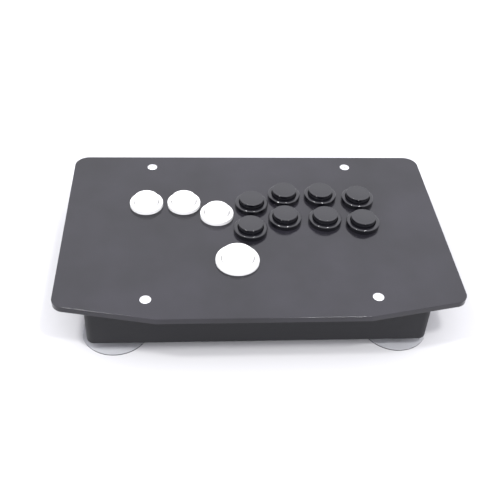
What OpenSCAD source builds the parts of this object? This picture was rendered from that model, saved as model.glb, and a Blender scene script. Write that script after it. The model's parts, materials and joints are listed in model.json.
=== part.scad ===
// All-button arcade controller: a flat panel of snap-in push-buttons on a folded
// sheet-metal case with suction-cup feet. Millimetres, +Z up, the front edge faces -Y.
// The origin lies on the table, below the middle of the panel.

/* [Panel] */
// Width of the panel
panel_w = 311; // [300:1:320]
// Depth of the panel, from its back edge to the middle of its front edge
panel_d = 204.5; // [202:0.5:212]
// Thickness of the panel
panel_t = 5; // [4:0.5:5]
// Half width of the straight middle stretch of the front edge
front_half = 79; // [60:1:100]
// How far the front edge falls back from its middle to its ends
front_taper = 15; // [8:1:20]
// Corner radius at the back
back_r = 12; // [6:1:16]
// Corner radius at the front ends
front_r = 10; // [6:1:14]

/* [Case] */
// Outer width of the case
case_w = 263; // [258:1:268]
// Outer depth of the case
case_d = 179; // [178:1:184]
// Height of the case
case_h = 37; // [37:1:44]
// Sheet thickness of the case
sheet_t = 1.2; // [1:0.1:1.5]
// Outer radius of the case's upright corners
case_r = 6; // [4:0.5:10]
// How far the case's middle lies behind the panel's middle
case_back = 2.5; // [1:0.5:5]
// How far the case's middle lies to the left of the panel's middle
case_left = 1.5; // [0:0.5:2]
// Distance between the panel screws, side to side
screw_span_x = 174; // [150:1:190]
// Distance between the panel screws, front to back
screw_span_y = 168.5; // [166:0.5:170]

/* [Feet] */
// Height of the suction cups
cup_h = 8; // [7:0.5:10]
// Radius of the suction cups' rims
cup_r = 26; // [22:0.5:27]
// Distance between the cups, side to side
cup_span_x = 222; // [200:1:226]
// Distance between the cups, front to back
cup_span_y = 136; // [120:1:140]

/* [Push-buttons] */
// Height of a flange above the panel
flange_h = 4.1; // [3:0.1:4.5]
// Height of a cap above the panel
cap_h = 8.1; // [7.5:0.1:9]
// Travel of the small buttons
travel_24 = 2.4; // [1.5:0.1:2.6]
// Travel of the large button
travel_30 = 2.6; // [1.5:0.1:2.6]
// Depth of a housing below the panel's top face
housing_depth = 16; // [15:0.5:18]

/* [Rear buttons and socket] */
// Height of the rear push-buttons above the table
rear_button_z = 27; // [24:0.5:30]
// Distance between the rear push-buttons
rear_pitch = 20; // [17:1:24]
// Travel of the rear push-buttons
rear_travel = 1.2; // [0.8:0.1:1.5]
// Position of the socket, measured from the middle of the panel
socket_x = -63; // [-66:1:-60]

/* [Hidden] */
$fn = 64;

// Snap-in button sizes: hole, flange, cap and body radii, then the travel
SMALL = [12, 13.8, 10.1, 11.85, travel_24];
LARGE = [15, 17.3, 12.7, 14.85, travel_30];

// Name, middle, size and colour of each push-button
BUTTONS = [
    ["left",    [-90.1, 31.4],   SMALL, "white"],
    ["down",    [-58.8, 31.4],   SMALL, "white"],
    ["right",   [-31.5, 16.6],   SMALL, "white"],
    ["jump",    [-17.1, -40.4],  LARGE, "white"],
    ["upper_1", [-1.8, 30.2],    SMALL, "#1c1c1f"],
    ["upper_2", [26.8, 42],      SMALL, "#1c1c1f"],
    ["upper_3", [58.3, 41.8],    SMALL, "#1c1c1f"],
    ["upper_4", [90.2, 37.3],    SMALL, "#1c1c1f"],
    ["lower_1", [-4.6, -3],      SMALL, "#1c1c1f"],
    ["lower_2", [24.9, 10.2],    SMALL, "#1c1c1f"],
    ["lower_3", [58.3, 8.9],     SMALL, "#1c1c1f"],
    ["lower_4", [89.5, 4.8],     SMALL, "#1c1c1f"],
];
BUTTON_PARTS = ["housing", "plunger", "switch"];
CUPS = [["front_left", -1, -1], ["front_right", 1, -1], ["rear_left", -1, 1], ["rear_right", 1, 1]];
REAR_BUTTONS = ["select", "start", "home"];

function hole_r(size) = size[0];
function flange_r(size) = size[1];
function cap_r(size) = size[2];
function body_r(size) = size[3];
function travel(size) = size[4];

// Heights
case_bottom = cup_h;
floor_top = case_bottom + sheet_t;
case_top = case_bottom + case_h;
panel_top = case_top + panel_t;

// Case
inner_w = case_w - 2 * sheet_t;
inner_d = case_d - 2 * sheet_t;
rear_face = case_back + case_d / 2;
rear_inside = rear_face - sheet_t;

// Screws and nuts
screw_r = 1.95;
screw_hole_r = 2.15;
screw_head_r = 4.4;
countersink_gap = 0.1;
socket_flats = 2.5;
socket_depth = 1.6;
screw_len = 12;
nut_flats = 7;
nut_t = 3.2;
thread_gap = 0.05;
tab_w = 18;
tab_d = 12;

// Cup studs
stud_r = 2.45;
stud_hole_r = 2.7;
stud_top = floor_top + 6.5;
stud_head_r = 5;
stud_head_t = 1.6;
stud_head_z = 3.8;
neck_r = 7.5;

// Inside a push-button, measured down from the panel's top face
slide_gap = 0.35;
skirt_t = 1.4;
skirt_depth = 10;
hook_h = 1.4;
hook_w = 2.4;
stem_r = 1.6;
stem_depth = housing_depth + 1;
switch_plate_t = 1.6;
switch_block_h = 6;
block_depth = housing_depth + switch_plate_t + switch_block_h;
blade_len = 6.4;
blade_w = 4.8;
blade_t = 0.8;
blade_y = 4;

// Rear push-buttons
barrel_r = 6;
barrel_gap = 0.1;
barrel_len = 12;
bezel_r = 7.3;
bezel_t = 2;
rear_cap_r = 4.2;
rear_bore_r = 4.5;
rear_body_depth = 19;
pin_len = 4;
pin_x = 2.5;
first_rear_x = 40;

// Circuit board
board_w = 66;
board_d = 40;
board_t = 1.6;
board_x = socket_x;
board_y = 68;
spacer_h = 6;
spacer_shank_r = 2;
board_bottom = floor_top + spacer_h;
board_top = board_bottom + board_t;
board_hole_x = 29;
board_hole_y = 16;
board_hole_r = 1.6;
board_screw_r = 1.45;
board_screw_len = 6;
socket_w = 12;
socket_h = 11.1;
socket_d = 16.5;
socket_gap = 0.4;
ways = 16;
way_pitch = 2.54;
block_h = 9;
block_d = 8;
block_front = board_y - board_d / 2 + 1;
way_z = board_top + 3.2;

// Wiring
wire_r = 0.8;
elbow_r = 0.95;
elbow_gap = 0.3;
loom_r = 2.6;
loom_z = 12.6;
ground_z = 17.3;
crimp_bottom = panel_top - block_depth - blade_len - 1;
crimp_h = 6.6;
crimp_w = 6.4;
crimp_t = 2.6;
comb_y = 43;
main_x = -75;
main_y = -20;
riser_shift = 4;
rear_loom_x = -24;
rear_loom_y = 60;

function arc(centre, r, from, to, steps = 8) = [
    for (i = [0 : steps])
        let (a = from + (to - from) * i / steps) centre + r * [cos(a), sin(a)]
];

// Corner of radius r at point p, turning between edges that leave at angles a and b
function corner(p, r, a, b) =
    let (
        half = (b - a) / 2,
        middle = p + r / sin(abs(half)) * [cos((a + b) / 2), sin((a + b) / 2)]
    )
    arc(middle, r, a - 90, b - 270);

function rear_x(i) = first_rear_x + rear_pitch * i;

taper_angle = atan(front_taper / (panel_w / 2 - front_half));

module panel_outline() {
    x = panel_w / 2;
    y = panel_d / 2;
    right = concat(
        arc([x - back_r, y - back_r], back_r, 90, 0),
        corner([x, -y + front_taper], front_r, 90, 180 + taper_angle),
        [[front_half, -y]]
    );
    left = [for (i = [len(right) - 1 : -1 : 0]) [-right[i][0], right[i][1]]];
    polygon(concat(right, left));
}

module rounded_square(w, d, r) {
    polygon(concat(
        arc([w / 2 - r, d / 2 - r], r, 0, 90),
        arc([r - w / 2, d / 2 - r], r, 90, 180),
        arc([r - w / 2, r - d / 2], r, 180, 270),
        arc([w / 2 - r, r - d / 2], r, 270, 360)
    ));
}

module at_corners(middle_x, span_x, span_y) {
    for (sx = [-1, 1])
        for (sy = [-1, 1])
            translate([middle_x + sx * span_x / 2, case_back + sy * span_y / 2, 0])
                children();
}

module at_screws() {
    at_corners(0, screw_span_x, screw_span_y) children();
}

module at_cups() {
    at_corners(-case_left, cup_span_x, cup_span_y) children();
}

module hexagon(flats, h) {
    cylinder(h = h, r = flats / sqrt(3), $fn = 6);
}

module top_plate() {
    color("#2b2b30")
    difference() {
        translate([0, 0, case_top]) linear_extrude(panel_t) panel_outline();
        for (button = BUTTONS)
            translate([button[1][0], button[1][1], case_top - 1])
                cylinder(h = panel_t + 2, r = hole_r(button[2]));
        at_screws() {
            translate([0, 0, case_top - 1]) cylinder(h = panel_t + 2, r = screw_hole_r);
            countersink();
        }
    }
}

// Cone that a screw head sits in, flush with the panel's top face
module countersink() {
    top_r = screw_head_r + countersink_gap;
    above = 0.5;
    translate([0, 0, panel_top - top_r + screw_hole_r])
        cylinder(h = top_r - screw_hole_r + above, r1 = screw_hole_r, r2 = top_r + above);
}

// Folded tab that carries one panel screw, grown from the wall on the side sy
module screw_tab(sx, sy) {
    wall_y = sy * inner_d / 2;
    translate([
        sx * screw_span_x / 2 - tab_w / 2,
        case_back + min(wall_y - sy * tab_d, wall_y + sy * sheet_t / 2),
        case_top - sheet_t
    ])
        cube([tab_w, tab_d + sheet_t / 2, sheet_t]);
}

module case_tray() {
    color("#202125")
    difference() {
        union() {
            difference() {
                translate([-case_left, case_back, case_bottom])
                    linear_extrude(case_h) rounded_square(case_w, case_d, case_r);
                translate([-case_left, case_back, floor_top])
                    linear_extrude(case_h) rounded_square(inner_w, inner_d, case_r - sheet_t);
            }
            for (sx = [-1, 1]) for (sy = [-1, 1]) screw_tab(sx, sy);
        }
        at_screws() translate([0, 0, case_top - 3]) cylinder(h = 4, r = screw_hole_r);
        at_cups() translate([0, 0, case_bottom - 1]) cylinder(h = 4, r = stud_hole_r);
        at_board_holes() translate([0, 0, case_bottom - 1]) cylinder(h = 4, r = spacer_shank_r);
        for (i = [0 : len(REAR_BUTTONS) - 1])
            translate([rear_x(i), rear_face + 2, rear_button_z])
                rotate([90, 0, 0]) cylinder(h = 6, r = barrel_r + barrel_gap);
        translate([socket_x - socket_w / 2 - socket_gap, rear_inside - 2, board_top - socket_gap])
            cube([socket_w + 2 * socket_gap, 6, socket_h + 2 * socket_gap]);
    }
}

// Countersunk socket screws, flush with the panel
module plate_screws() {
    color("silver")
    at_screws()
        translate([0, 0, panel_top])
            difference() {
                rotate_extrude()
                    polygon([
                        [0, -screw_len],
                        [screw_r, -screw_len],
                        [screw_r, screw_r - screw_head_r],
                        [screw_head_r, 0],
                        [0, 0]
                    ]);
                translate([0, 0, -socket_depth]) hexagon(socket_flats, 3);
            }
}

module weld_nuts() {
    color("gray")
    at_screws()
        translate([0, 0, case_top - sheet_t - nut_t])
            difference() {
                hexagon(nut_flats, nut_t);
                translate([0, 0, -1]) cylinder(h = nut_t + 2, r = screw_r + thread_gap);
            }
}

module suction_cup(sx, sy) {
    rim_t = 0.9;
    color("#dfe7ea", 0.35)
    translate([-case_left + sx * cup_span_x / 2, case_back + sy * cup_span_y / 2, 0])
        difference() {
            rotate_extrude()
                polygon([
                    [0, 2.2],
                    [8, 1.9],
                    [16, 1.1],
                    [cup_r - 1.6, 0],
                    [cup_r - 0.3, 0],
                    [cup_r, 0.3],
                    [cup_r - 0.2, rim_t],
                    [17, 2.8],
                    [11, 4.4],
                    [neck_r + 0.8, 5.4],
                    [neck_r, 6.2],
                    [neck_r, cup_h],
                    [0, cup_h]
                ]);
            translate([0, 0, stud_head_z]) cylinder(h = stud_head_t, r = stud_head_r);
            translate([0, 0, stud_head_z]) cylinder(h = cup_h, r = stud_r);
        }
}

module cup_studs() {
    color("silver")
    at_cups() {
        translate([0, 0, stud_head_z]) cylinder(h = stud_head_t, r = stud_head_r);
        translate([0, 0, stud_head_z]) cylinder(h = stud_top - stud_head_z, r = stud_r);
    }
}

// Washer and nut on each stud
module cup_nuts() {
    washer_r = 5;
    washer_t = 1;
    color("gray")
    at_cups()
        translate([0, 0, floor_top])
            difference() {
                union() {
                    cylinder(h = washer_t, r = washer_r);
                    translate([0, 0, washer_t - 0.1]) hexagon(8, 4);
                }
                translate([0, 0, -1]) cylinder(h = 8, r = stud_r + thread_gap);
            }
}

// Snap-in button body: flange ring, sleeve, two snap tongues and two windows for the cap's hooks
module housing(size, tint) {
    bore_r = cap_r(size) + slide_gap;
    rim_r = flange_r(size);
    sleeve_r = body_r(size);
    edge_r = 0.9;
    chamfer = 0.4;
    tongue_w = 5;
    slot_w = 0.8;
    slot_top = -2;
    slot_h = 11;
    hook_gap = 0.2;
    color(tint)
    difference() {
        union() {
            rotate_extrude()
                polygon(concat(
                    [[bore_r, -housing_depth], [sleeve_r, -housing_depth], [sleeve_r, 0], [rim_r, 0]],
                    arc([rim_r - edge_r, flange_h - edge_r], edge_r, 0, 90, 5),
                    [[bore_r + chamfer, flange_h], [bore_r, flange_h - chamfer]]
                ));
            for (turn = [0, 180])
                rotate([0, 0, turn]) snap_barb(sleeve_r, tongue_w);
        }
        for (sx = [-1, 1]) for (sy = [-1, 1])
            translate([sx * sleeve_r - 3, sy * (tongue_w + slot_w) / 2 - slot_w / 2, slot_top - slot_h])
                cube([6, slot_w, slot_h]);
        for (sy = [-1, 1])
            translate([
                -hook_w / 2 - hook_gap,
                sy * sleeve_r - 3,
                -skirt_depth - travel(size) - hook_gap
            ])
                cube([hook_w + 2 * hook_gap, 6, hook_h + travel(size) + 2 * hook_gap]);
    }
}

// Wedge that catches below the panel
module snap_barb(r, w) {
    top = -panel_t - 0.2;
    translate([0, w / 2, 0])
        rotate([90, 0, 0])
            linear_extrude(w)
                polygon([[r - 0.6, top], [r + 1.1, top], [r + 1.1, top - 0.8], [r, top - 5], [r - 0.6, top - 5]]);
}

// Cap with its guide skirt, its two hooks and the stem that works the switch
module plunger(size, tint) {
    r = cap_r(size);
    edge_r = 0.6;
    cap_t = 2;
    color(tint) {
        rotate_extrude()
            polygon(concat(
                [[0, cap_h]],
                arc([r - edge_r, cap_h - edge_r], edge_r, 90, 0, 5),
                [
                    [r, -skirt_depth],
                    [r - skirt_t, -skirt_depth],
                    [r - skirt_t, cap_h - cap_t],
                    [stem_r, cap_h - cap_t],
                    [stem_r, -stem_depth],
                    [0, -stem_depth]
                ]
            ));
        for (sy = [-1, 1])
            translate([-hook_w / 2, sy * (r - 0.1) - 0.9, -skirt_depth])
                cube([hook_w, 1.8, hook_h]);
    }
}

// Sealed microswitch on its clip-in plate, with the socket that the stem enters
module microswitch(size) {
    plate_r = body_r(size) - 0.3;
    ring_r = cap_r(size) + slide_gap - 0.2;
    side = 14;
    color("#26272b")
    difference() {
        union() {
            translate([0, 0, -housing_depth - switch_plate_t])
                cylinder(h = switch_plate_t, r = plate_r);
            translate([0, 0, -housing_depth - 0.2])
                difference() {
                    cylinder(h = 1.6, r = ring_r);
                    translate([0, 0, -1]) cylinder(h = 4, r = ring_r - 1.2);
                }
            translate([-side / 2, -side / 2, -block_depth])
                cube([side, side, switch_block_h + 0.5]);
        }
        translate([0, 0, -block_depth + 1.6]) cylinder(h = block_depth, r = stem_r + 0.3);
    }
}

module at_button(button) {
    translate([button[1][0], button[1][1], panel_top]) children();
}

module button_part(button, part) {
    at_button(button) {
        if (part == "housing") housing(button[2], button[3]);
        if (part == "plunger") plunger(button[2], button[3]);
        if (part == "switch") microswitch(button[2]);
    }
}

// Flat blades under every microswitch and the pins of the rear push-buttons
module switch_blades() {
    color("silver") {
        for (button = BUTTONS) for (sy = [-1, 1])
            at_button(button)
                translate([-blade_w / 2, sy * blade_y - blade_t / 2, -block_depth - blade_len])
                    cube([blade_w, blade_t, blade_len]);
        for (i = [0 : len(REAR_BUTTONS) - 1]) for (sx = [-1, 1])
            translate([rear_x(i) + sx * pin_x, rear_face - rear_body_depth, rear_button_z])
                rotate([90, 0, 0]) cylinder(h = pin_len, r = 0.6);
    }
}

module rear_button_bodies() {
    tail_r = 5.4;
    color("#1c1c1f")
    for (i = [0 : len(REAR_BUTTONS) - 1])
        translate([rear_x(i), rear_face, rear_button_z])
            rotate([-90, 0, 0])
                difference() {
                    rotate_extrude()
                        polygon([
                            [0, -rear_body_depth],
                            [tail_r, -rear_body_depth],
                            [tail_r, -barrel_len],
                            [barrel_r, -barrel_len],
                            [barrel_r, 0],
                            [bezel_r, 0],
                            [bezel_r, bezel_t - 0.6],
                            [bezel_r - 0.6, bezel_t],
                            [0, bezel_t]
                        ]);
                    translate([0, 0, -11]) cylinder(h = 20, r = rear_bore_r);
                }
}

module rear_button_nuts() {
    color("gray")
    for (i = [0 : len(REAR_BUTTONS) - 1])
        translate([rear_x(i), rear_inside, rear_button_z])
            rotate([90, 0, 0])
                difference() {
                    hexagon(14, 2);
                    translate([0, 0, -1]) cylinder(h = 4, r = barrel_r + thread_gap);
                }
}

module rear_cap(i) {
    color("#3a3a40")
    translate([rear_x(i), rear_face, rear_button_z])
        rotate([-90, 0, 0])
            rotate_extrude()
                polygon(concat(
                    [[0, -8], [rear_cap_r, -8]],
                    arc([rear_cap_r - 0.8, bezel_t + 1.7], 0.8, 0, 90, 4),
                    [[0, bezel_t + 2.5]]
                ));
}

module encoder_board() {
    color("#1d5a3c")
    difference() {
        translate([board_x - board_w / 2, board_y - board_d / 2, board_bottom])
            cube([board_w, board_d, board_t]);
        at_board_holes() translate([0, 0, board_bottom - 1]) cylinder(h = 4, r = board_hole_r);
    }
}

module at_board_holes() {
    for (sx = [-1, 1]) for (sy = [-1, 1])
        translate([board_x + sx * board_hole_x, board_y + sy * board_hole_y, 0])
            children();
}

module board_spacers() {
    color("goldenrod")
    at_board_holes()
        difference() {
            union() {
                translate([0, 0, case_bottom]) cylinder(h = sheet_t + 0.5, r = spacer_shank_r);
                translate([0, 0, floor_top]) cylinder(h = spacer_h, r = 3);
            }
            translate([0, 0, floor_top + 0.8]) cylinder(h = spacer_h, r = board_screw_r + thread_gap);
        }
}

module board_screws() {
    color("silver")
    at_board_holes() {
        translate([0, 0, board_top - board_screw_len]) cylinder(h = board_screw_len + 0.5, r = board_screw_r);
        translate([0, 0, board_top]) cylinder(h = 1.8, r = 2.75);
    }
}

function way_x(i) = board_x + way_pitch * (i - (ways - 1) / 2);

module terminal_block() {
    entry_r = 1;
    entry_depth = 3;
    clamp_r = 0.9;
    color("#2f8f5b")
    difference() {
        translate([board_x - ways * way_pitch / 2, block_front, board_top])
            cube([ways * way_pitch, block_d, block_h]);
        for (i = [0 : ways - 1]) {
            translate([way_x(i), block_front - 1, way_z])
                rotate([-90, 0, 0]) cylinder(h = entry_depth + 1, r = entry_r);
            translate([way_x(i), block_front + 4.5, board_top + block_h - 1.5])
                cylinder(h = 3, r = clamp_r);
        }
    }
}

// Controller chip, crystal can and two capacitors, each standing on the board
module board_chips() {
    color("#151515") {
        translate([board_x + 8, board_y - 4, board_top]) cube([12, 12, 1.6]);
        translate([board_x - 22, board_y + 2, board_top]) cube([11, 4.6, 3.6]);
        for (side = [-1, 1])
            translate([board_x + side * 14, board_y + 14, board_top]) cylinder(h = 6, r = 2.5);
    }
}

module usb_socket() {
    mouth_w = 8.5;
    mouth_h = 7.8;
    mouth_d = 9;
    tongue_w = 5.6;
    tongue_h = 3.2;
    middle_z = board_top + socket_h / 2;
    color("silver")
    difference() {
        translate([socket_x - socket_w / 2, rear_face - socket_d, board_top])
            cube([socket_w, socket_d, socket_h]);
        difference() {
            translate([socket_x, rear_face + 1, middle_z])
                rotate([90, 0, 0])
                    linear_extrude(mouth_d + 1)
                        polygon([
                            [-mouth_w / 2, -mouth_h / 2],
                            [mouth_w / 2, -mouth_h / 2],
                            [mouth_w / 2, mouth_h / 2 - 1.6],
                            [mouth_w / 2 - 1.6, mouth_h / 2],
                            [1.6 - mouth_w / 2, mouth_h / 2],
                            [-mouth_w / 2, mouth_h / 2 - 1.6]
                        ]);
            translate([socket_x - tongue_w / 2, rear_face - mouth_d - 1, middle_z - tongue_h / 2])
                cube([tongue_w, mouth_d, tongue_h]);
        }
    }
}

// Straight rod of radius r from a to b
module rod(a, b, r) {
    v = b - a;
    translate(a)
        rotate([0, acos(v[2] / norm(v)), atan2(v[1], v[0])])
            cylinder(h = norm(v), r = r, $fn = 16);
}

// Wire through the given points, with a round elbow at each bend. The straight lengths stop
// a little short of an elbow's middle, so that they never run into each other.
module wire(points) {
    last = len(points) - 1;
    for (i = [0 : last - 1]) {
        step = elbow_gap * (points[i + 1] - points[i]) / norm(points[i + 1] - points[i]);
        rod(points[i] + (i == 0 ? 0 : 1) * step, points[i + 1] - (i + 1 == last ? 0 : 1) * step, wire_r);
    }
    for (i = [1 : last - 1]) translate(points[i]) sphere(r = elbow_r, $fn = 16);
}

// Bundle of wires in one sleeve
module loom(points) {
    for (i = [0 : len(points) - 2]) rod(points[i], points[i + 1], loom_r);
    for (p = points) translate(p) sphere(r = loom_r + 0.25, $fn = 24);
}

// Insulated crimp that slides on a blade at (x, y)
module crimp(x, y) {
    gap = 0.05;
    floor_t = 0.9;
    difference() {
        translate([x - crimp_w / 2, y - crimp_t / 2, crimp_bottom]) cube([crimp_w, crimp_t, crimp_h]);
        translate([x - blade_w / 2 - gap, y - blade_t / 2 - gap, crimp_bottom + floor_t])
            cube([blade_w + 2 * gap, blade_t + 2 * gap, crimp_h]);
    }
}

// Route on the case floor from a loom to the signal blade of a button
function branch(button) =
    let (
        name = button[0],
        x = button[1][0],
        y = button[1][1] - blade_y
    )
    name == "left" || name == "down" || name == "right" ? [[main_x, y], [x, y]] :
    name == "jump" ? [[x, main_y], [x, y]] :
    y > 20 ? [[x + riser_shift, main_y], [x + riser_shift, y], [x, y]] :
    [[x, main_y], [x, y]];

module signal_wires() {
    comb_left = way_x(0);
    comb_right = way_x(ways - 2);
    color("#b33b2e") {
        loom([[comb_left, comb_y, loom_z], [rear_loom_x, comb_y, loom_z],
              [rear_loom_x, rear_loom_y, loom_z], [rear_x(2) - pin_x, rear_loom_y, loom_z]]);
        loom([[main_x, comb_y, loom_z], [main_x, main_y, loom_z], [94, main_y, loom_z]]);
        for (i = [0 : ways - 2])
            wire([[way_x(i), block_front + 2.5, way_z], [way_x(i), comb_y, way_z], [way_x(i), comb_y, loom_z]]);
        for (button = BUTTONS) {
            route = branch(button);
            last = route[len(route) - 1];
            wire(concat(
                [for (p = route) [p[0], p[1], loom_z]],
                [[last[0], last[1], crimp_bottom + 0.4]]
            ));
            crimp(last[0], last[1]);
        }
        for (i = [0 : len(REAR_BUTTONS) - 1])
            rear_lead(rear_x(i) - pin_x, rear_loom_y, loom_z);
    }
}

// Lead that rises from (x, y, z) and meets a pin of a rear push-button
module rear_lead(x, y, z) {
    pin_end = rear_face - rear_body_depth - pin_len;
    wire([[x, y, z], [x, y, rear_button_z], [x, pin_end, rear_button_z]]);
}

// One wire that joins the second blade of every button in turn
module ground_wires() {
    ground_y = 66;
    side_x = 98;
    start_y = 38;
    start_x = way_x(ways - 1);
    function blade(i) = [BUTTONS[i][1][0], BUTTONS[i][1][1] + blade_y, ground_z];
    color("#202020") {
        wire([[start_x, block_front + 2.5, way_z], [start_x, start_y, way_z],
              [start_x, start_y, ground_z], blade(1)]);
        wire([blade(0), blade(1), blade(2), blade(3), blade(8), blade(9), blade(10), blade(11),
              [side_x, 24, ground_z], [side_x, blade(7)[1], ground_z],
              blade(7), blade(6), blade(5), blade(4)]);
        wire([[side_x, blade(7)[1], ground_z], [side_x, ground_y, ground_z],
              [rear_x(0) + pin_x, ground_y, ground_z]]);
        for (i = [0 : len(BUTTONS) - 1]) {
            crimp(blade(i)[0], blade(i)[1]);
            wire([blade(i), [blade(i)[0], blade(i)[1], crimp_bottom + 0.4]]);
        }
        for (p = [blade(0), blade(4), [rear_x(0) + pin_x, ground_y, ground_z]])
            translate(p) sphere(r = elbow_r, $fn = 16);
        for (i = [0 : len(REAR_BUTTONS) - 1])
            rear_lead(rear_x(i) + pin_x, ground_y, ground_z);
    }
}

top_plate();
case_tray();
plate_screws();
weld_nuts();
for (cup = CUPS)
    suction_cup(cup[1], cup[2]);
cup_studs();
cup_nuts();
for (button = BUTTONS) for (part = BUTTON_PARTS)
    button_part(button, part);
switch_blades();
rear_button_bodies();
rear_button_nuts();
for (i = [0 : len(REAR_BUTTONS) - 1])
    rear_cap(i);
encoder_board();
terminal_block();
board_chips();
usb_socket();
board_spacers();
board_screws();
signal_wires();
ground_wires();
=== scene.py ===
"""All-button arcade controller: the looks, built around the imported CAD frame."""
import json
import math

import bmesh
import bpy
from mathutils import Matrix, Quaternion, Vector


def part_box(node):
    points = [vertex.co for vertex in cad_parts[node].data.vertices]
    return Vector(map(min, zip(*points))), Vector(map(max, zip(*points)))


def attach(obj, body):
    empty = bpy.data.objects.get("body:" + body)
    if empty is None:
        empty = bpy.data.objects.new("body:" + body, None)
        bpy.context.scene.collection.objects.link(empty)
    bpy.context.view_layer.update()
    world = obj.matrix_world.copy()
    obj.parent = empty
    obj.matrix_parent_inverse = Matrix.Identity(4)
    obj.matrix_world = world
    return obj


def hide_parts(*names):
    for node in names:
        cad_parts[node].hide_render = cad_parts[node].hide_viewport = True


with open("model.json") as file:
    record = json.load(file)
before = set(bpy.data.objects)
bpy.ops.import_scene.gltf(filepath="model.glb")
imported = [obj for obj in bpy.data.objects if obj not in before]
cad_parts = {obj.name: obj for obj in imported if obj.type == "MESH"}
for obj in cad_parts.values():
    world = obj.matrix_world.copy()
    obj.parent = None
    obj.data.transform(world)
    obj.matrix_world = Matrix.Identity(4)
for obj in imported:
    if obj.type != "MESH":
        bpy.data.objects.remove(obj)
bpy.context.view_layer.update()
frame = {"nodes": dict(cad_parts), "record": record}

MM = 0.001
ROOT = "controller"
WHITE_BUTTONS = ["left", "down", "right", "jump"]
BLACK_BUTTONS = ["upper_1", "upper_2", "upper_3", "upper_4", "lower_1", "lower_2", "lower_3", "lower_4"]
BUTTONS = WHITE_BUTTONS + BLACK_BUTTONS
REAR_BUTTONS = ["select", "start", "home"]
CUPS = ["front_left", "front_right", "rear_left", "rear_right"]
SMOOTH_ANGLE = math.radians(32)
# Turns a shape that was made along +Z to point along +Y, out of the rear wall.
TO_REAR = Matrix.Rotation(-math.pi / 2, 4, "X")
# Thickness of the case's sheet.
SHEET = 1.2 * MM
SCREW_HEAD_R = 4.4 * MM
SCREW_HOLE_R = 2.15 * MM
# How far a cap's skirt reaches below the top of the panel.
SKIRT_DEPTH = 10 * MM
# A cap's hook: its width, depth and height, and the longest travel it makes in its window.
HOOK = Vector((2.4, 1.8, 1.4)) * MM
HOOK_TRAVEL = 2.6 * MM


# ---------------------------------------------------------------- node helpers

def new_material(name, **values):
    """A node material with its Principled shader's plain values set."""
    made = bpy.data.materials.new(name)
    made.use_nodes = True
    shader = made.node_tree.nodes["Principled BSDF"]
    for key, value in values.items():
        shader.inputs[key.replace("_", " ")].default_value = value
    return made


def add(tree, kind, inputs=None, **settings):
    """One shader node. An input is a plain value or another node's socket."""
    made = tree.nodes.new("ShaderNode" + kind)
    for key, value in settings.items():
        setattr(made, key, value)
    for socket, value in (inputs or {}).items():
        if isinstance(value, bpy.types.NodeSocket):
            tree.links.new(value, made.inputs[socket])
        else:
            made.inputs[socket].default_value = value
    return made


def own_place(tree):
    """A point's place in its piece's own metres."""
    return add(tree, "TexCoord").outputs["Object"]


def noise(tree, scale, detail=3.0, rough=0.55, stretch=(1, 1, 1)):
    """Noise in the piece's own metres, as a value from 0 to 1."""
    spread = add(tree, "Mapping", {"Vector": own_place(tree), "Scale": stretch}).outputs["Vector"]
    made = add(tree, "TexNoise", {"Vector": spread, "Scale": scale, "Detail": detail, "Roughness": rough})
    return made.outputs["Fac"]


def remap(tree, value, low, high, new_low, new_high, blend="LINEAR"):
    """Maps a value from the range low..high to new_low..new_high, and holds it there."""
    made = add(tree, "MapRange", {
        "Value": value, "From Min": low, "From Max": high, "To Min": new_low, "To Max": new_high,
    }, interpolation_type=blend)
    return made.outputs["Result"]


def total(tree, *values):
    """The sum of several value sockets."""
    result = values[0]
    for value in values[1:]:
        result = add(tree, "Math", {0: result, 1: value}, operation="ADD").outputs[0]
    return result


def blend_colour(tree, factor, first, second):
    """A colour between first and second, as factor goes from 0 to 1."""
    made = add(tree, "Mix", {"Factor": factor}, data_type="RGBA")
    # A Mix node repeats its socket names for each data type: the colour pair is 6 and 7.
    made.inputs[6].default_value = (*first, 1)
    made.inputs[7].default_value = (*second, 1)
    return made.outputs[2]


def connect(made, **sockets):
    """Links sockets to the material's Principled shader."""
    tree = made.node_tree
    shader = tree.nodes["Principled BSDF"]
    for key, socket in sockets.items():
        tree.links.new(socket, shader.inputs[key.replace("_", " ")])
    return made


def bump(tree, height, depth, strength):
    """Surface relief from a height value, depth metres at its full strength of 1."""
    made = add(tree, "Bump", {"Height": height, "Distance": depth, "Strength": strength})
    return made.outputs["Normal"]


# ------------------------------------------------------------------- materials

def panel_black():
    """Polished black sheet: cloudy wiping marks, a fine grain, a trace of orange peel."""
    made = new_material("panel_black", IOR=1.46)
    tree = made.node_tree
    clouds = noise(tree, 14, 5, 0.6)
    smears = noise(tree, 60, 5, 0.6, (1, 0.35, 1))
    grain = noise(tree, 1600, 2, 0.7)
    marks = total(tree, remap(tree, clouds, 0.3, 0.7, 0, 0.75), remap(tree, grain, 0.3, 0.7, 0, 0.25))
    colour = blend_colour(tree, marks, (0.003, 0.003, 0.004), (0.015, 0.014, 0.019))
    rough = total(
        tree,
        remap(tree, clouds, 0.3, 0.7, 0.11, 0.15),
        remap(tree, smears, 0.45, 0.75, 0, 0.04),
        remap(tree, grain, 0.3, 0.7, -0.02, 0.02),
    )
    return connect(made, Base_Color=colour, Roughness=rough, Normal=bump(tree, smears, 0.00012, 0.3))


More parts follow.
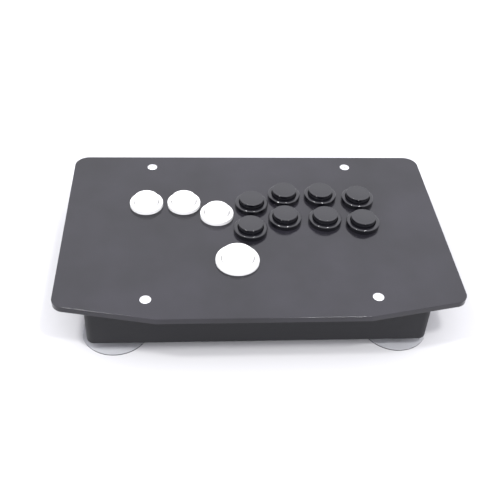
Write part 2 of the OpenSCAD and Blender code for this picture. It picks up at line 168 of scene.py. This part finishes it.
def case_paint():
    """Fine-textured matt black powder coat."""
    made = new_material("case_paint", IOR=1.38)
    tree = made.node_tree
    clouds = noise(tree, 20, 4)
    peel = noise(tree, 1500, 3, 0.6)
    pits = add(tree, "TexVoronoi", {"Vector": own_place(tree), "Scale": 900}).outputs["Distance"]
    colour = blend_colour(tree, clouds, (0.004, 0.004, 0.005), (0.007, 0.007, 0.009))
    rough = total(tree, remap(tree, clouds, 0.3, 0.7, 0.50, 0.58), remap(tree, peel, 0.3, 0.7, -0.04, 0.04))
    height = total(tree, peel, pits)
    return connect(made, Base_Color=colour, Roughness=rough, Normal=bump(tree, height, 0.00007, 0.5))


def moulded(name, first, second, rough, grain_depth=0.00001):
    """Moulded plastic: slight flow marks in the colour, finger smears and fine scratches in the gloss."""
    made = new_material(name, IOR=1.57)
    tree = made.node_tree
    flow = noise(tree, 90, 3, 0.5, (1, 0.4, 1))
    smears = noise(tree, 220, 4, 0.6)
    scratches = noise(tree, 700, 2, 0.8, (1, 0.05, 1))
    grain = noise(tree, 3500, 2, 0.6)
    colour = blend_colour(tree, flow, first, second)
    gloss = total(
        tree,
        remap(tree, smears, 0.35, 0.7, rough - 0.03, rough + 0.05),
        remap(tree, scratches, 0.62, 0.8, 0, 0.10),
    )
    relief = bump(tree, total(tree, grain, flow), grain_depth, 0.6)
    return connect(made, Base_Color=colour, Roughness=gloss, Normal=relief)


def metal(name, colour, rough, brushed=(1, 1, 1)):
    """Plated or polished metal with turning or rolling marks."""
    made = new_material(name, Metallic=1.0)
    tree = made.node_tree
    marks = noise(tree, 900, 3, 0.7, brushed)
    haze = noise(tree, 130, 3)
    darker = tuple(0.82 * c for c in colour)
    shade = blend_colour(tree, remap(tree, haze, 0.35, 0.7, 0, 1), colour, darker)
    gloss = total(
        tree,
        remap(tree, marks, 0.3, 0.7, rough - 0.05, rough + 0.07),
        remap(tree, haze, 0.4, 0.7, 0, 0.05),
    )
    return connect(made, Base_Color=shade, Roughness=gloss, Normal=bump(tree, marks, 0.00001, 0.5))


def clear_pvc():
    """Clear soft PVC. Light goes straight through to what is below; it looks grey where it is deep."""
    made = new_material("cup_clear", IOR=1.40, Transmission_Weight=1.0)
    tree = made.node_tree
    haze = noise(tree, 160, 3)
    connect(
        made,
        Base_Color=blend_colour(tree, haze, (0.965, 0.965, 0.97), (0.94, 0.94, 0.945)),
        Roughness=remap(tree, haze, 0.3, 0.8, 0.02, 0.10),
    )
    shader = tree.nodes["Principled BSDF"]
    path = add(tree, "LightPath")
    straight = add(tree, "Math", {
        0: path.outputs["Is Shadow Ray"], 1: path.outputs["Is Diffuse Ray"],
    }, operation="MAXIMUM").outputs[0]
    clear = add(tree, "BsdfTransparent", {"Color": (0.94, 0.95, 0.96, 1)}).outputs["BSDF"]
    shown = add(tree, "MixShader", {0: straight, 1: shader.outputs["BSDF"], 2: clear}).outputs["Shader"]
    tree.links.new(shown, tree.nodes["Material Output"].inputs["Surface"])
    tint = (0.82, 0.815, 0.82, 1)
    depth = add(tree, "VolumeAbsorption", {"Color": tint, "Density": 320}).outputs["Volume"]
    tree.links.new(depth, tree.nodes["Material Output"].inputs["Volume"])
    return made


def coated_board():
    """Solder-masked circuit board: fine glass weave, faint copper tracks under the mask."""
    made = new_material("board_green", IOR=1.5)
    tree = made.node_tree
    place = own_place(tree)
    weave = add(tree, "TexChecker", {"Vector": place, "Scale": 2400}).outputs["Fac"]
    tracks = add(tree, "TexBrick", {"Vector": place, "Scale": 160, "Mortar Size": 0.03}).outputs["Fac"]
    colour = blend_colour(tree, tracks, (0.012, 0.085, 0.035), (0.02, 0.15, 0.06))
    rough = remap(tree, weave, 0, 1, 0.30, 0.36)
    relief = bump(tree, total(tree, weave, tracks), 0.00002, 0.4)
    return connect(made, Base_Color=colour, Roughness=rough, Normal=relief)


def stage_white():
    """Plain pale floor with a trace of unevenness."""
    made = new_material("floor_white", IOR=1.45)
    tree = made.node_tree
    clouds = noise(tree, 3, 3)
    colour = blend_colour(tree, clouds, (0.47, 0.47, 0.473), (0.49, 0.49, 0.493))
    return connect(made, Base_Color=colour, Roughness=remap(tree, clouds, 0.3, 0.7, 0.55, 0.65))


MATERIALS = {
    "panel_black": panel_black(),
    "case_paint": case_paint(),
    "screw_steel": metal("screw_steel", (0.86, 0.86, 0.87), 0.22),
    "nut_steel": metal("nut_steel", (0.62, 0.62, 0.60), 0.34),
    "cup_clear": clear_pvc(),
    "button_white": moulded("button_white", (0.66, 0.66, 0.648), (0.70, 0.70, 0.69), 0.20),
    "button_black": moulded("button_black", (0.002, 0.002, 0.003), (0.004, 0.004, 0.006), 0.10, 0.000005),
    "switch_plastic": moulded("switch_plastic", (0.020, 0.020, 0.022), (0.028, 0.028, 0.030), 0.45),
    "blade_metal": metal("blade_metal", (0.80, 0.76, 0.66), 0.30, (1, 1, 0.1)),
    "rear_cap_grey": moulded("rear_cap_grey", (0.045, 0.045, 0.050), (0.055, 0.055, 0.062), 0.35),
    "board_green": coated_board(),
    "block_green": moulded("block_green", (0.025, 0.26, 0.10), (0.03, 0.31, 0.12), 0.35),
    "chip_black": moulded("chip_black", (0.018, 0.018, 0.018), (0.026, 0.026, 0.026), 0.5),
    "socket_steel": metal("socket_steel", (0.70, 0.70, 0.69), 0.28, (1, 0.1, 1)),
    "spacer_brass": metal("spacer_brass", (0.80, 0.62, 0.30), 0.25, (1, 1, 4)),
    "wire_red": moulded("wire_red", (0.33, 0.02, 0.015), (0.40, 0.03, 0.02), 0.42),
    "wire_black": moulded("wire_black", (0.014, 0.014, 0.014), (0.020, 0.020, 0.020), 0.42),
}


def dress_nodes():
    """Gives every CAD node the finished material of its slot."""
    slots = {s["node"]: s["material_slot"] for s in frame["record"]["subparts"]}
    for name, obj in frame["nodes"].items():
        if not obj.material_slots:
            obj.data.materials.append(None)
        for slot in obj.material_slots:
            slot.material = MATERIALS[slots[name]]


# ---------------------------------------------------------------- mesh helpers

def middle_of(node):
    """Middle of a CAD node's box, as x, y and z."""
    low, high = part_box(node)
    return [(a + b) / 2 for a, b in zip(low, high)]


def radius_of(node):
    """Radius of a round, upright CAD node: half its box's width."""
    low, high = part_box(node)
    return (high.x - low.x) / 2


def corner_places(node, radius):
    """Middles of the four round pieces of a group node, worked out from its box."""
    low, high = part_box(node)
    xs = [low.x + radius, high.x - radius]
    ys = [low.y + radius, high.y - radius]
    return [(x, y) for x in xs for y in ys]


def arc(centre, radius, start, end, steps):
    """Points on an arc in the plane, angles in degrees, both ends included."""
    points = []
    for i in range(steps + 1):
        a = math.radians(start + (end - start) * i / steps)
        points.append((centre[0] + radius * math.cos(a), centre[1] + radius * math.sin(a)))
    return points


def finish_mesh(obj, slot, node, body=ROOT):
    """Smooth shading with sharp creases, the slot's material, and the piece's place in the frame."""
    obj.data.shade_smooth()
    obj.data.set_sharp_from_angle(angle=SMOOTH_ANGLE)
    obj.data.materials.clear()
    obj.data.materials.append(MATERIALS[slot])
    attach(obj, body)
    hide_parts(node)


def even_shading(obj):
    """Keeps flat faces flat in the shading where they meet small rounded edges."""
    even = obj.modifiers.new("even_shading", "WEIGHTED_NORMAL")
    even.keep_sharp = True


def object_from(bm, name):
    """Turns a bmesh into a new object in the scene, with its points merged and its faces outward."""
    bmesh.ops.remove_doubles(bm, verts=bm.verts, dist=1e-6)
    bmesh.ops.recalc_face_normals(bm, faces=bm.faces)
    mesh = bpy.data.meshes.new(name)
    bm.to_mesh(mesh)
    bm.free()
    obj = bpy.data.objects.new(name, mesh)
    bpy.context.scene.collection.objects.link(obj)
    return obj


def evaluated_mesh(obj):
    """A new mesh of the object as it stands, with its modifiers or curve settings applied."""
    bpy.context.view_layer.update()
    graph = bpy.context.evaluated_depsgraph_get()
    return bpy.data.meshes.new_from_object(obj.evaluated_get(graph))


def spin(bm, profile, place, segments):
    """Adds the solid of revolution of a closed (radius, height) profile, turned by the matrix place."""
    rings = []
    for radius, height in profile:
        if radius < 1e-7:
            rings.append([bm.verts.new(place @ Vector((0, 0, height)))])
            continue
        ring = []
        for k in range(segments):
            a = 2 * math.pi * k / segments
            ring.append(bm.verts.new(place @ Vector((radius * math.cos(a), radius * math.sin(a), height))))
        rings.append(ring)
    for low, high in zip(rings, rings[1:] + rings[:1]):
        for k in range(segments):
            n = k + 1
            corners = [low[k % len(low)], low[n % len(low)], high[n % len(high)], high[k % len(high)]]
            corners = list(dict.fromkeys(corners))
            if len(corners) > 2:
                bm.faces.new(corners)


def bridge(bm, low, high):
    """Adds the band of faces between two rings of as many points."""
    for k in range(len(low)):
        n = (k + 1) % len(low)
        bm.faces.new((low[k], low[n], high[n], high[k]))


def add_box(bm, low, high):
    """Adds a plain box between two corners."""
    made = bmesh.ops.create_cube(bm, size=1)["verts"]
    bmesh.ops.scale(bm, vec=Vector(high) - Vector(low), verts=made)
    bmesh.ops.translate(bm, vec=(Vector(high) + Vector(low)) / 2, verts=made)


def box_object(low, high, name="cutter"):
    """A plain box between two corners, as an object to cut with or to join."""
    bm = bmesh.new()
    add_box(bm, low, high)
    return object_from(bm, name)


def rod_cutter(centre, radius, low, high, turn=Matrix.Identity(4), segments=48):
    """A cylinder to cut with, upright unless turned, from low to high along its axis through centre."""
    bm = bmesh.new()
    profile = [(0, low), (radius, low), (radius, high), (0, high)]
    spin(bm, profile, Matrix.Translation(centre) @ turn, segments)
    return object_from(bm, "cutter")


def cut(obj, cutters):
    """Takes the cutters out of obj, and removes them."""
    for cutter in cutters:
        tool = obj.modifiers.new("cut", "BOOLEAN")
        tool.operation = "DIFFERENCE"
        tool.solver = "EXACT"
        tool.object = cutter
    result = evaluated_mesh(obj)
    obj.modifiers.clear()
    obj.data = result
    for cutter in cutters:
        bpy.data.objects.remove(cutter)


# ----------------------------------------------------------------------- panel

def panel_outline(low, high):
    """The plate's outline: rounded corners, and a front edge whose two ends fall back."""
    back_r, front_r, bend_r = 12 * MM, 10 * MM, 6 * MM
    front_half, taper = 79 * MM, 15 * MM
    lean = math.degrees(math.atan2(taper, high.x - front_half))
    # The middle of the front corner's arc is on the bisector of the side and the slanted front edge.
    half_turn = math.radians(90 + lean) / 2
    reach = front_r / math.sin(half_turn)
    aim = math.radians(90) + half_turn
    front_centre = (high.x + reach * math.cos(aim), low.y + taper + reach * math.sin(aim))
    bend_x = front_half - bend_r * math.tan(math.radians(lean / 2))
    right = arc((high.x - back_r, high.y - back_r), back_r, 90, 0, 20)
    right += arc(front_centre, front_r, 0, lean - 90, 20)
    right += arc((bend_x, low.y + bend_r), bend_r, lean - 90, -90, 6)
    return right + [(-x, y) for x, y in reversed(right)]


def hole_radius(name):
    """Radius of the plate's hole for one button: the large size for jump, the small one for the others."""
    return (15 if name == "jump" else 12) * MM


def button_hole(name):
    """Outline of the plate's hole for one button."""
    points = 64
    return arc(middle_of(f"{name}_housing"), hole_radius(name), 360, 360 / points, points - 1)


def bevelled_sheet(loops, thickness, arris):
    """A flat sheet about height 0, from its outline and the outlines of its holes, every edge bevelled."""
    curve = bpy.data.curves.new("panel", "CURVE")
    curve.dimensions = "2D"
    curve.fill_mode = "BOTH"
    curve.extrude = thickness / 2 - arris
    curve.bevel_depth = arris
    curve.bevel_resolution = 2
    curve.offset = -arris
    for loop in loops:
        spline = curve.splines.new("POLY")
        spline.points.add(len(loop) - 1)
        for point, (x, y) in zip(spline.points, loop):
            point.co = (x, y, 0, 1)
        spline.use_cyclic_u = True
    shape = bpy.data.objects.new("panel_shape", curve)
    bpy.context.scene.collection.objects.link(shape)
    mesh = evaluated_mesh(shape)
    bpy.data.objects.remove(shape)
    return mesh


def countersink(spot, low, high):
    """Cutter for one screw hole, with the cone that the screw's head sits in."""
    top_r = SCREW_HEAD_R + 0.1 * MM
    past = 0.5 * MM
    foot = low - MM
    profile = [(0, foot), (SCREW_HOLE_R, foot), (SCREW_HOLE_R, high - top_r + SCREW_HOLE_R)]
    profile += [(top_r + past, high + past), (0, high + past)]
    bm = bmesh.new()
    spin(bm, profile, Matrix.Translation((*spot, 0)), 48)
    return object_from(bm, "cutter")


def screw_places():
    """Middles of the four panel screws."""
    return corner_places("plate_screws", SCREW_HEAD_R)


def build_panel():
    """The flat top plate: rounded outline, button and screw holes, a fine arris on every edge."""
    low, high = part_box("top_plate")
    loops = [panel_outline(low, high)] + [button_hole(name) for name in BUTTONS]
    bm = bmesh.new()
    bm.from_mesh(bevelled_sheet(loops, high.z - low.z, 0.35 * MM))
    bmesh.ops.translate(bm, vec=(0, 0, (low.z + high.z) / 2), verts=bm.verts)
    panel = object_from(bm, "panel")
    cut(panel, [countersink(spot, low.z, high.z) for spot in screw_places()])
    finish_mesh(panel, "panel_black", "top_plate")
    even_shading(panel)


# ------------------------------------------------------------------------ case

def rounded_ring(bm, size, centre, radius, height, steps):
    """A closed ring of vertices along a rounded rectangle."""
    w, d = size[0] / 2 - radius, size[1] / 2 - radius
    points = []
    for sx, sy, start in ((1, 1, 0), (-1, 1, 90), (-1, -1, 180), (1, -1, 270)):
        points += arc((centre[0] + sx * w, centre[1] + sy * d), radius, start, start + 90, steps)
    return [bm.verts.new((x, y, height)) for x, y in points]


def case_shell(low, high):
    """The open box of sheet: rounded upright corners, a folded lower edge, a fine radius on the rim."""
    corner_r, fold_r, inner_r, lip_r = 6 * MM, 1.8 * MM, 0.8 * MM, 0.3 * MM
    w, d = high.x - low.x, high.y - low.y
    centre = middle_of("case_tray")
    lip_z = high.z - lip_r
    section = arc((fold_r, low.z + fold_r), fold_r, 270, 180, 6)
    section += arc((lip_r, lip_z), lip_r, 180, 90, 3)
    section += arc((SHEET - lip_r, lip_z), lip_r, 90, 0, 3)
    section += arc((SHEET + inner_r, low.z + SHEET + inner_r), inner_r, 180, 270, 4)
    bm = bmesh.new()
    rings = []
    for inset, z in section:
        rings.append(rounded_ring(bm, (w - 2 * inset, d - 2 * inset), centre, corner_r - inset, z, 12))
    for a, b in zip(rings, rings[1:]):
        bridge(bm, a, b)
    bm.faces.new(rings[0])
    bm.faces.new(list(reversed(rings[-1])))
    return object_from(bm, "case")


def case_cutters(low, high):
    """Cutters for the floor's stud and screw holes, and for the rear wall's button and socket openings."""
    stud_hole_r, board_hole_r, rear_hole_r = 2.7 * MM, 2 * MM, 6.1 * MM
    spacer_r, socket_gap = 3 * MM, 0.4 * MM
    through_floor = (-2 * MM, 4 * MM)
    inside, outside = 4 * MM, 3 * MM
    cutters = []
    for name in CUPS:
        x, y, _ = middle_of(f"suction_cup_{name}")
        cutters.append(rod_cutter((x, y, low.z), stud_hole_r, *through_floor))
    for x, y in corner_places("board_spacers", spacer_r):
        cutters.append(rod_cutter((x, y, low.z), board_hole_r, *through_floor))
    for name in REAR_BUTTONS:
        x, _, z = middle_of(f"{name}_cap")
        cutters.append(rod_cutter((x, high.y, z), rear_hole_r, -inside, outside, TO_REAR))
    lo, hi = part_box("usb_socket")
    cutters.append(box_object(
        (lo.x - socket_gap, high.y - inside, lo.z - socket_gap),
        (hi.x + socket_gap, high.y + outside, hi.z + socket_gap),
    ))
    return cutters


def add_screw_tabs(case, low, high):
    """Joins the four folded tabs, each with its screw hole, to the case."""
    half_w, reach = 9 * MM, 12 * MM
    below_rim = 0.02 * MM
    bm = bmesh.new()
    bm.from_mesh(case.data)
    for x, y in screw_places():
        if y > (low.y + high.y) / 2:
            near, far = high.y - SHEET - reach, high.y - SHEET
        else:
            near, far = low.y + SHEET, low.y + SHEET + reach
        tab = box_object((x - half_w, near, high.z - SHEET), (x + half_w, far, high.z - below_rim), "tab")
        cut(tab, [rod_cutter((x, y, high.z), SCREW_HOLE_R, -4 * MM, 2 * MM)])
        bm.from_mesh(tab.data)
        bpy.data.objects.remove(tab)
    bm.to_mesh(case.data)
    bm.free()


def build_case():
    """The folded sheet case, with its openings and the tabs that the panel is screwed to."""
    low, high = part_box("case_tray")
    case = case_shell(low, high)
    cut(case, case_cutters(low, high))
    add_screw_tabs(case, low, high)
    finish_mesh(case, "case_paint", "case_tray")
    even_shading(case)


# --------------------------------------------------------------------- buttons

def build_button(name):
    """One snap-in push-button: its flanged housing, and its cap, which travels."""
    slot = "button_white" if name in WHITE_BUTTONS else "button_black"
    x, y, _ = middle_of(f"{name}_housing")
    centre = Matrix.Translation((x, y, 0))
    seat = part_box("top_plate")[1].z
    build_housing(name, slot, centre, seat)
    build_cap(name, slot, centre, seat)


def build_housing(name, slot, centre, seat):
    """A button's fixed part: the flange on the plate, and the sleeve below with its two windows."""
    low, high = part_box(f"{name}_housing")
    rim_r = radius_of(f"{name}_housing")
    bore_r = radius_of(f"{name}_plunger") + 0.45 * MM
    sleeve_r = hole_radius(name) - 0.15 * MM
    round_r = (2.4 if name == "jump" else 1.1) * MM
    lip, foot = 0.35 * MM, 0.25 * MM
    profile = [(bore_r, low.z), (sleeve_r, low.z), (sleeve_r, seat)]
    profile += [(rim_r - foot, seat), (rim_r, seat + foot)]
    profile += arc((rim_r - round_r, high.z - round_r), round_r, 0, 90, 10)
    profile += arc((bore_r + lip, high.z - lip), lip, 90, 180, 5)
    bm = bmesh.new()
    spin(bm, profile, centre, 96)
    ring = object_from(bm, f"{name}_ring")
    cut(ring, [hook_window(centre.translation, side, sleeve_r, seat) for side in (-1, 1)])
    finish_mesh(ring, slot, f"{name}_housing")


def build_cap(name, slot, centre, seat):
    """A button's moving part: a dished top, a skirt with two hooks, and the stem that works the switch."""
    low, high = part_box(f"{name}_plunger")
    cap_r = radius_of(f"{name}_plunger")
    edge_r, dish, stem_r = 0.5 * MM, 0.25 * MM, 1.6 * MM
    flat_r = cap_r - edge_r
    inner_r = cap_r - 1.4 * MM
    roof_z = high.z - 2 * MM
    skirt_z = seat - SKIRT_DEPTH
    hook_r = cap_r - 0.1 * MM
    rings = 7
    profile = [(flat_r * k / rings, high.z - dish * (1 - (k / rings) ** 2)) for k in range(rings)]
    profile += arc((flat_r, high.z - edge_r), edge_r, 90, 0, 8)
    profile += [(cap_r, skirt_z), (inner_r, skirt_z), (inner_r, roof_z)]
    profile += [(stem_r, roof_z), (stem_r, low.z), (0, low.z)]
    bm = bmesh.new()
    spin(bm, profile, centre, 96)
    for side in (-1, 1):
        middle = centre.translation + Vector((0, side * hook_r, skirt_z + HOOK.z / 2))
        add_box(bm, middle - HOOK / 2, middle + HOOK / 2)
    finish_mesh(object_from(bm, f"{name}_cap"), slot, f"{name}_plunger", f"{name}_button")


def hook_window(centre, side, sleeve_r, seat):
    """Cutter for the slot in the sleeve that one hook of the cap slides in."""
    gap = 0.2 * MM
    half = Vector((HOOK.x / 2 + gap, 3 * MM, 0))
    middle = centre + Vector((0, side * sleeve_r, 0))
    foot = Vector((0, 0, seat - SKIRT_DEPTH - HOOK_TRAVEL - gap))
    top = Vector((0, 0, seat - SKIRT_DEPTH + HOOK.z + gap))
    return box_object(middle - half + foot, middle + half + top)


def build_rear_buttons():
    """The three menu push-buttons: barrels with a rounded bezel, and their domed caps, which travel."""
    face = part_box("case_tray")[1].y
    barrels = bmesh.new()
    for name in REAR_BUTTONS:
        x, _, z = middle_of(f"{name}_cap")
        place = Matrix.Translation((x, face, z)) @ TO_REAR
        cap_r = radius_of(f"{name}_cap")
        spin(barrels, rear_barrel_profile(cap_r + 0.3 * MM), place, 64)
        cap = bmesh.new()
        spin(cap, rear_cap_profile(cap_r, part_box(f"{name}_cap")[1].y - face), place, 64)
        finish_mesh(object_from(cap, f"{name}_key"), "rear_cap_grey", f"{name}_cap", f"{name}_button")
    finish_mesh(object_from(barrels, "rear_barrels"), "button_black", "rear_button_bodies")


def rear_barrel_profile(bore_r):
    """A menu button's barrel, closed at its inner end, with a bezel outside the case's rear wall."""
    bezel_r, barrel_r, tail_r = 7.3 * MM, 6 * MM, 5.4 * MM
    bezel_t, round_r, lip, foot = 2 * MM, 0.7 * MM, 0.35 * MM, 0.1 * MM
    step, tail, floor = -12 * MM, -19 * MM, -11 * MM
    profile = [(0, tail), (tail_r, tail), (tail_r, step), (barrel_r, step), (barrel_r, 0)]
    profile += [(bezel_r - foot, 0), (bezel_r, foot)]
    profile += arc((bezel_r - round_r, bezel_t - round_r), round_r, 0, 90, 8)
    profile += arc((bore_r + lip, bezel_t - lip), lip, 90, 180, 5)
    return profile + [(bore_r, floor), (0, floor)]


def rear_cap_profile(cap_r, top):
    """A menu button's cap, with a rounded edge and a slight dome."""
    edge_r, dome, foot = 0.8 * MM, 0.35 * MM, -8 * MM
    profile = [(0, foot), (cap_r, foot)]
    profile += arc((cap_r - edge_r, top - dome - edge_r), edge_r, 0, 75, 7)
    return profile + [(cap_r * k / 6, top - dome * (k / 6) ** 2) for k in range(4, -1, -1)]


def build_screws():
    """Four countersunk screws with a hexagon socket, flush with the panel."""
    low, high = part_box("plate_screws")
    shank_r, root_r, pitch = 1.95 * MM, 1.6 * MM, 0.7 * MM
    edge, point = 0.15 * MM, 0.5 * MM
    socket_r, socket_depth = 1.44 * MM, 1.6 * MM
    length = high.z - low.z
    neck = shank_r - SCREW_HEAD_R
    profile = [(0, 0), (SCREW_HEAD_R - 2 * edge, 0), (SCREW_HEAD_R - edge, -0.3 * edge)]
    profile += [(SCREW_HEAD_R - edge, -edge), (shank_r, neck)]
    for i in range(int((length + neck) / pitch) - 1):
        z = neck - pitch * (i + 1)
        profile += [(shank_r, z + 0.15 * pitch), (root_r, z - 0.3 * pitch), (root_r, z - 0.4 * pitch)]
    profile += [(shank_r - point, -length), (0, -length)]
    bm = bmesh.new()
    for spot in screw_places():
        spin(bm, profile, Matrix.Translation((*spot, high.z)), 48)
    screws = object_from(bm, "panel_screws")
    tops = [(*spot, high.z) for spot in screw_places()]
    cut(screws, [rod_cutter(top, socket_r, -socket_depth, MM, segments=6) for top in tops])
    finish_mesh(screws, "screw_steel", "plate_screws")


# ------------------------------------------------------------------------ feet

def build_cup(name):
    """One clear suction cup: a thin dished skirt with a rounded rim, and a thick neck."""
    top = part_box(f"suction_cup_{name}")[1].z
    x, y, _ = middle_of(f"suction_cup_{name}")
    r = radius_of(f"suction_cup_{name}")
    neck, fillet_r, chamfer_r, fillet_z = 7.5 * MM, 2.2 * MM, 0.4 * MM, 6.6 * MM
    edge, rim_t = 0.08 * MM, 0.85 * MM
    stud_r, head_r, head_top, head_foot = 2.45 * MM, 5 * MM, 5.4 * MM, 3.8 * MM
    # Radius and height in millimetres, along the hollow below and the skirt above.
    hollow = [(0, 2.2), (4, 2.1), (8, 1.5), (11, 0.6), (14, 0.1)]
    skirt = [(20, 0.9), (16, 1.05), (13, 1.8), (11, 3.4)]
    profile = [(stud_r, top), (stud_r, head_top), (head_r, head_top), (head_r, head_foot), (0, head_foot)]
    profile += [(a * MM, b * MM) for a, b in hollow]
    profile += [(r - 6 * MM, 0.02 * MM)]
    profile += arc((r - edge, edge), edge, 270, 360, 4)
    profile += arc((r - edge, rim_t - edge), edge, 0, 90, 4)
    profile += [(a * MM, b * MM) for a, b in skirt]
    profile += arc((neck + fillet_r, fillet_z), fillet_r, 250, 180, 5)
    profile += arc((neck - chamfer_r, top - chamfer_r), chamfer_r, 0, 90, 3)
    bm = bmesh.new()
    spin(bm, profile, Matrix.Translation((x, y, 0)), 96)
    finish_mesh(object_from(bm, f"clear_cup_{name}"), "cup_clear", f"suction_cup_{name}")


# ------------------------------------------------------------ stage and camera

def build_stage():
    """A wide flat floor at the height that the cups stand on."""
    bm = bmesh.new()
    half = 3.0
    corners = [(-half, -half), (half, -half), (half, half), (-half, half)]
    bm.faces.new([bm.verts.new((x, y, 0)) for x, y in corners])
    floor = object_from(bm, "floor")
    floor.data.materials.append(stage_white())


def area_light(name, place, target, size, power):
    """A square lamp that shines from place towards target."""
    lamp = bpy.data.lights.new(name, "AREA")
    lamp.shape = "RECTANGLE"
    lamp.size = size
    lamp.size_y = size
    lamp.energy = power
    obj = bpy.data.objects.new(name, lamp)
    obj.location = place
    obj.rotation_euler = (Vector(target) - Vector(place)).to_track_quat("-Z", "Y").to_euler()
    bpy.context.scene.collection.objects.link(obj)


def build_tent():
    """Even light from all round, dimmer in a low band behind the object. The camera sees it plain white."""
    bright, dim, seen_white = 2.1, 1.25, 1.0
    world = bpy.data.worlds.new("studio")
    bpy.context.scene.world = world
    world.use_nodes = True
    tree = world.node_tree
    aim = add(tree, "SeparateXYZ", {0: add(tree, "TexCoord").outputs["Generated"]})
    behind = remap(tree, aim.outputs["Y"], -0.2, 0.5, 0, 1, "SMOOTHSTEP")
    below_top = remap(tree, aim.outputs["Z"], 0.42, 0.72, 1, 0, "SMOOTHSTEP")
    above_foot = remap(tree, aim.outputs["Z"], 0.15, 0.40, 0, 1, "SMOOTHSTEP")
    band = add(tree, "Math", {0: below_top, 1: above_foot}, operation="MULTIPLY").outputs[0]
    dip = add(tree, "Math", {0: behind, 1: band}, operation="MULTIPLY").outputs[0]
    glow = remap(tree, dip, 0, 1, bright, dim)
    seen = add(tree, "LightPath").outputs["Is Camera Ray"]
    strength = add(tree, "Mix", {"Factor": seen, 2: glow, 3: seen_white}).outputs[0]
    background = tree.nodes["Background"]
    background.inputs["Color"].default_value = (0.99, 0.985, 1.05, 1)
    tree.links.new(strength, background.inputs["Strength"])


def build_lamps():
    """Two small lamps high in front, for the highlights on the flanges."""
    height, size, power = 1.2, 0.12, 8
    for name, x, y in (("lamp_left", -0.52, -0.32), ("lamp_right", 0.286, -0.54)):
        area_light(name, (x, y, height), (0, 0, 0.05), size, power)


def build_camera():
    """The camera: from the front and a little left, looking down, with a slight roll."""
    lens = bpy.data.cameras.new("camera")
    lens.lens = 56.67
    lens.sensor_width = 36
    lens.clip_start = 0.01
    obj = bpy.data.objects.new("camera", lens)
    place = Vector((-0.0544, -0.4970, 0.4595))
    target = Vector((-0.0065, -0.0272, 0.0500))
    roll = math.radians(3.43)
    obj.rotation_mode = "QUATERNION"
    obj.rotation_quaternion = (target - place).to_track_quat("-Z", "Y") @ Quaternion((0, 0, 1), roll)
    obj.location = place
    bpy.context.scene.collection.objects.link(obj)
    bpy.context.scene.camera = obj


build_camera()
dress_nodes()
build_panel()
build_case()
for button in BUTTONS:
    build_button(button)
build_rear_buttons()
build_screws()
for cup in CUPS:
    build_cup(cup)
build_stage()
build_tent()
build_lamps()
bpy.context.scene.view_settings.view_transform = "Standard"
